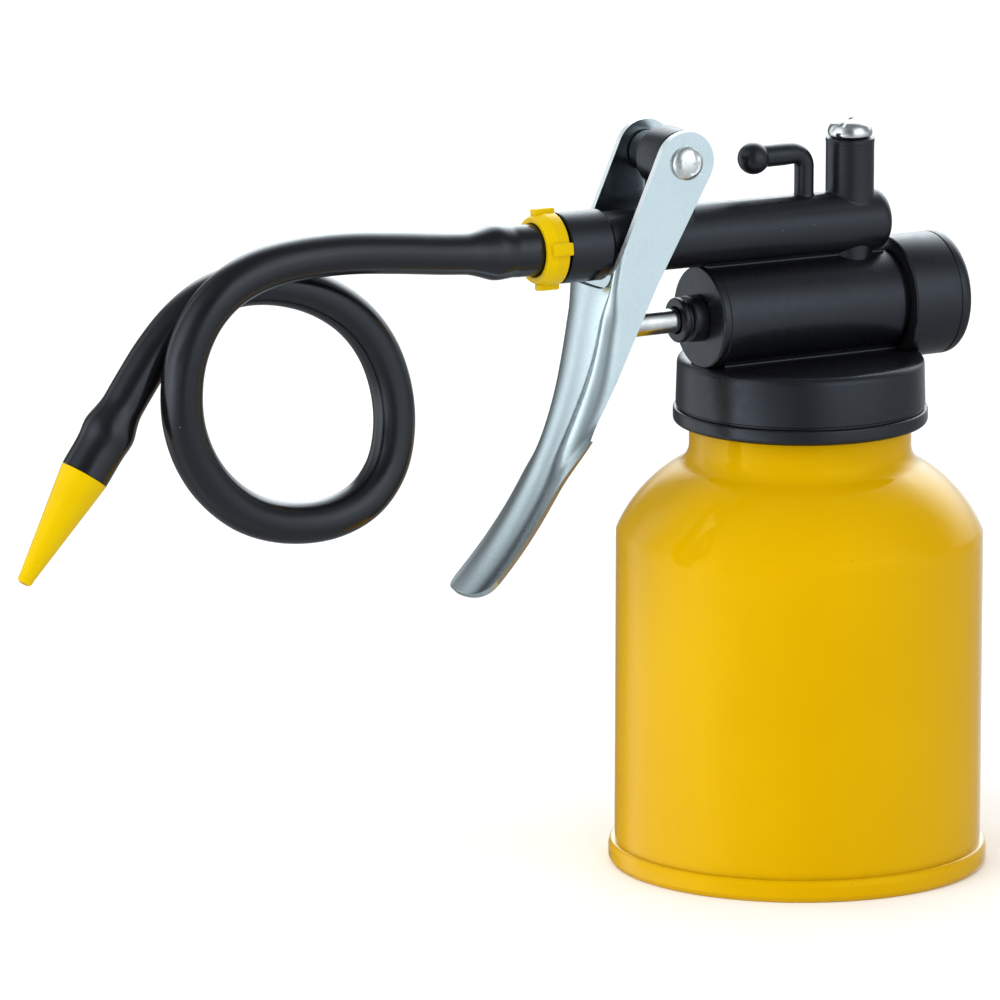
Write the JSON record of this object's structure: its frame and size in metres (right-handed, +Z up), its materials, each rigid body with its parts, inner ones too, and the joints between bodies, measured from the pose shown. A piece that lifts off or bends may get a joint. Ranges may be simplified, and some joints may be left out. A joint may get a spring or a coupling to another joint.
{
  "type": "hand lever oil can",
  "caption": "Round steel oil can with a screwed-on hand lever pump, a looped flexible delivery hose and a cone nozzle.",
  "frame": {"origin": "on the can's axis at the level of the surface it stands on", "axes": "+Z up along the can's axis, -X towards the lever and the delivery hose, the plane Y = 0 halves the can and the pump"},
  "size_m": [0.2138, 0.0776, 0.1559],
  "materials": {
    "can_enamel": "glossy golden yellow enamel",
    "head_plastic": "satin black moulded plastic",
    "collar_plastic": "bright yellow moulded plastic",
    "hose_vinyl": "glossy black soft vinyl",
    "lever_zinc": "bluish zinc plating",
    "bare_steel": "ground steel",
    "screw_chrome": "bright plating",
    "turned_brass": "turned",
    "seal_rubber": "matt black",
    "inner_plastic": "natural white moulded plastic"
  },
  "bodies": {
    "can": {"can_shell": "can_enamel", "can_base": "can_enamel"},
    "cap_gasket": {"neck_gasket": "seal_rubber"},
    "pump_head": {"pump_body": "head_plastic", "rear_cap": "head_plastic", "rear_cap_seal": "seal_rubber", "rod_gland": "head_plastic", "rod_seal": "seal_rubber", "suction_tube": "inner_plastic", "inlet_valve_seat": "turned_brass", "valve_screw": "screw_chrome", "valve_screw_seal": "seal_rubber", "return_spring": "bare_steel", "outlet_valve_spring": "bare_steel"},
    "squeeze_lever": {"lever": "lever_zinc", "pivot_pin": "bare_steel"},
    "plunger": {"piston_rod": "bare_steel", "piston": "inner_plastic", "piston_seal": "seal_rubber"},
    "inlet_ball": {"inlet_check_ball": "bare_steel"},
    "outlet_ball": {"outlet_check_ball": "bare_steel"},
    "spout": {"spout_nipple": "turned_brass", "delivery_hose": "hose_vinyl", "nozzle_tip": "collar_plastic"},
    "collar": {"collar_nut": "collar_plastic"}
  },
  "joints": [
    {"name": "head_lift", "type": "slide", "parent": "can", "child": "cap_gasket", "axis": [0, 0, 1], "range_m": [0, 0.1]},
    {"name": "head_turn", "type": "hinge", "parent": "cap_gasket", "child": "pump_head", "pos_m": [0, 0, 0.0985], "axis": [0, 0, 1], "range_deg": [0, 900]},
    {"name": "lever_pivot", "type": "hinge", "parent": "pump_head", "child": "squeeze_lever", "pos_m": [-0.0324, 0, 0.1495], "axis": [0, -1, 0], "range_deg": [0, 20], "stiffness_Nm_per_rad": 1.3, "springref_deg": -5.73},
    {"name": "plunger_slide", "type": "slide", "parent": "pump_head", "child": "plunger", "axis": [1, 0, 0], "range_m": [0, 0.0121], "deforming": ["return_spring"]},
    {"name": "inlet_ball_lift", "type": "slide", "parent": "pump_head", "child": "inlet_ball", "axis": [0, 0, 1], "range_m": [0, 0.001]},
    {"name": "outlet_ball_lift", "type": "slide", "parent": "pump_head", "child": "outlet_ball", "axis": [0, 0, 1], "range_m": [0, 0.0012], "stiffness_N_per_m": 250, "springref_m": -0.001, "deforming": ["outlet_valve_spring"]},
    {"name": "spout_swivel", "type": "hinge", "parent": "pump_head", "child": "spout", "pos_m": [-0.0598, 0, 0.13293], "axis": [-0.9999, 0, 0.0122], "range_deg": [-180, 180]},
    {"name": "collar_turn", "type": "hinge", "parent": "pump_head", "child": "collar", "pos_m": [-0.0598, 0, 0.13293], "axis": [-0.9999, 0, 0.0122], "range_deg": [0, 360]}
  ],
  "couplings": [
    {"joint": "plunger_slide", "follows": "lever_pivot", "m_per_rad": 0.0345}
  ]
}
